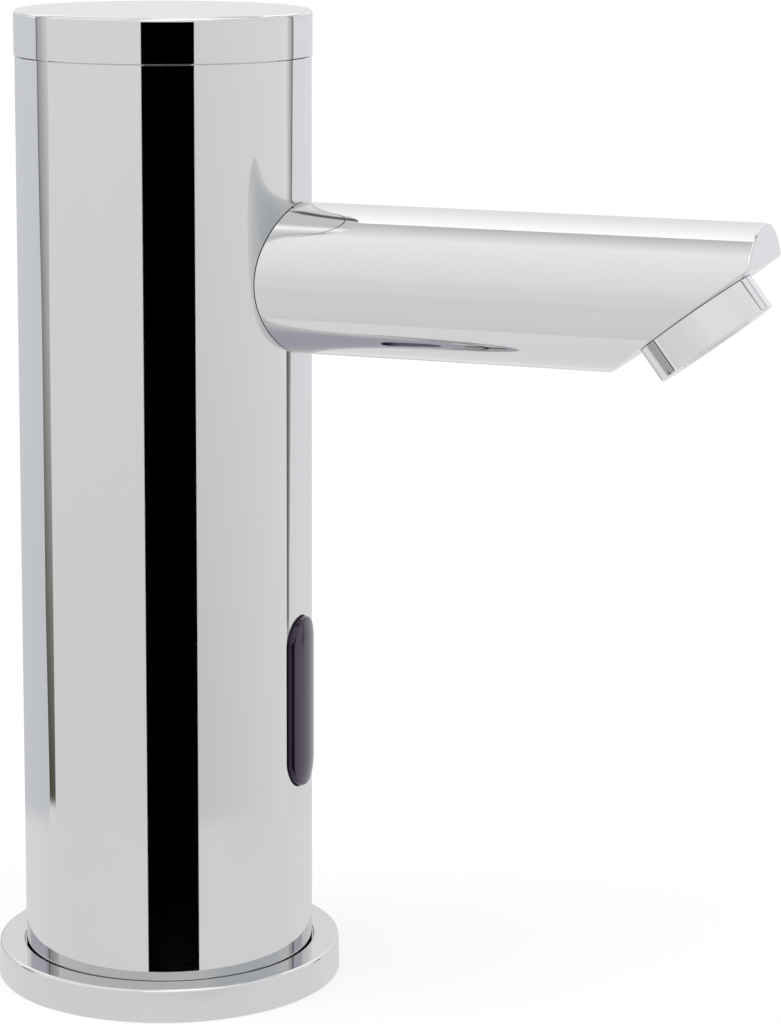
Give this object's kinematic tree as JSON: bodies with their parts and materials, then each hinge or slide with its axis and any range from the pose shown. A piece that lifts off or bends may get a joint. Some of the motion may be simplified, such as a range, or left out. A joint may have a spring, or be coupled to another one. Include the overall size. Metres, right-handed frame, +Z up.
{
  "type": "sensor tap",
  "caption": "Deck-mounted touchless basin tap: round column with a flat lift-off cap, level spout with a slanted end and aerator, and a sensor window below the spout.",
  "frame": {"origin": "on the column's axis at the deck's surface", "axes": "+Z up the column, +X along the spout, which is also the way that the sensor window faces"},
  "size_m": [0.1516, 0.0668, 0.1877],
  "materials": {
    "chrome": "polished",
    "brass": "satin",
    "rubber": "matte",
    "steel": "satin",
    "black_plastic": "matte",
    "white_plastic": "satin",
    "hose": "satin",
    "lens": "gloss",
    "circuit_board": "satin",
    "copper": "satin",
    "lead": "satin",
    "cell": "satin"
  },
  "bodies": {
    "tap": {"body_tube": "chrome", "foot": "brass", "foot_screws": "steel", "base_ring": "chrome", "deck_gasket": "rubber", "spout_tube": "chrome", "spout_spigot": "brass", "spout_nut": "brass", "saddle_washer": "rubber", "spout_waterway": "hose", "waterway_clip": "steel", "sensor_window": "lens", "window_gasket": "rubber", "sensor_housing": "black_plastic", "sensor_board": "circuit_board", "ir_emitter": "lens", "ir_receiver": "lens", "sensor_bracket": "steel", "bracket_screw": "steel", "sensor_screws": "steel", "inlet_housing": "brass", "inlet_screws": "steel", "inlet_strainer": "steel", "check_body": "white_plastic", "check_spring": "steel", "riser_pipe": "white_plastic", "valve_body": "white_plastic", "valve_screws": "steel", "valve_bonnet": "white_plastic", "bonnet_screws": "steel", "plunger_spring": "steel", "guide_tube": "steel", "coil_bobbin": "black_plastic", "coil_winding": "copper", "coil_yoke": "steel", "carrier": "black_plastic", "carrier_screws": "steel", "control_board": "circuit_board", "board_chip": "black_plastic", "board_capacitor": "lead", "board_connector": "white_plastic", "sensor_lead": "lead", "coil_lead": "lead", "battery_lead": "lead", "battery_tray": "black_plastic", "tray_screws": "steel", "battery_cell_1": "cell", "battery_cell_2": "cell", "battery_contacts": "steel"},
    "cap": {"cap": "chrome", "cap_o_ring": "rubber"},
    "aerator": {"aerator_housing": "chrome", "aerator_insert": "white_plastic", "aerator_washer": "rubber"},
    "plunger": {"valve_plunger": "steel"},
    "piston": {"valve_piston": "white_plastic", "piston_seal": "rubber"},
    "poppet": {"check_poppet": "white_plastic"}
  },
  "joints": [
    {"name": "cap_lift", "type": "slide", "parent": "tap", "child": "cap", "axis": [0, 0, 1], "range_m": [0, 0.03]},
    {"name": "aerator_out", "type": "slide", "parent": "tap", "child": "aerator", "axis": [0.6053, 0, -0.796], "range_m": [0, 0.012]},
    {"name": "plunger_lift", "type": "slide", "parent": "tap", "child": "plunger", "axis": [0, 0, 1], "range_m": [0, 0.0025], "stiffness_N_per_m": 60, "springref_m": -0.003, "deforming": ["plunger_spring"]},
    {"name": "piston_lift", "type": "slide", "parent": "tap", "child": "piston", "axis": [0, 0, 1], "range_m": [0, 0.0025]},
    {"name": "poppet_lift", "type": "slide", "parent": "tap", "child": "poppet", "axis": [0, 0, 1], "range_m": [0, 0.0025], "stiffness_N_per_m": 15, "springref_m": -0.002, "deforming": ["check_spring"]}
  ],
  "couplings": [
    {"joint": "piston_lift", "follows": "plunger_lift", "ratio": 1}
  ]
}
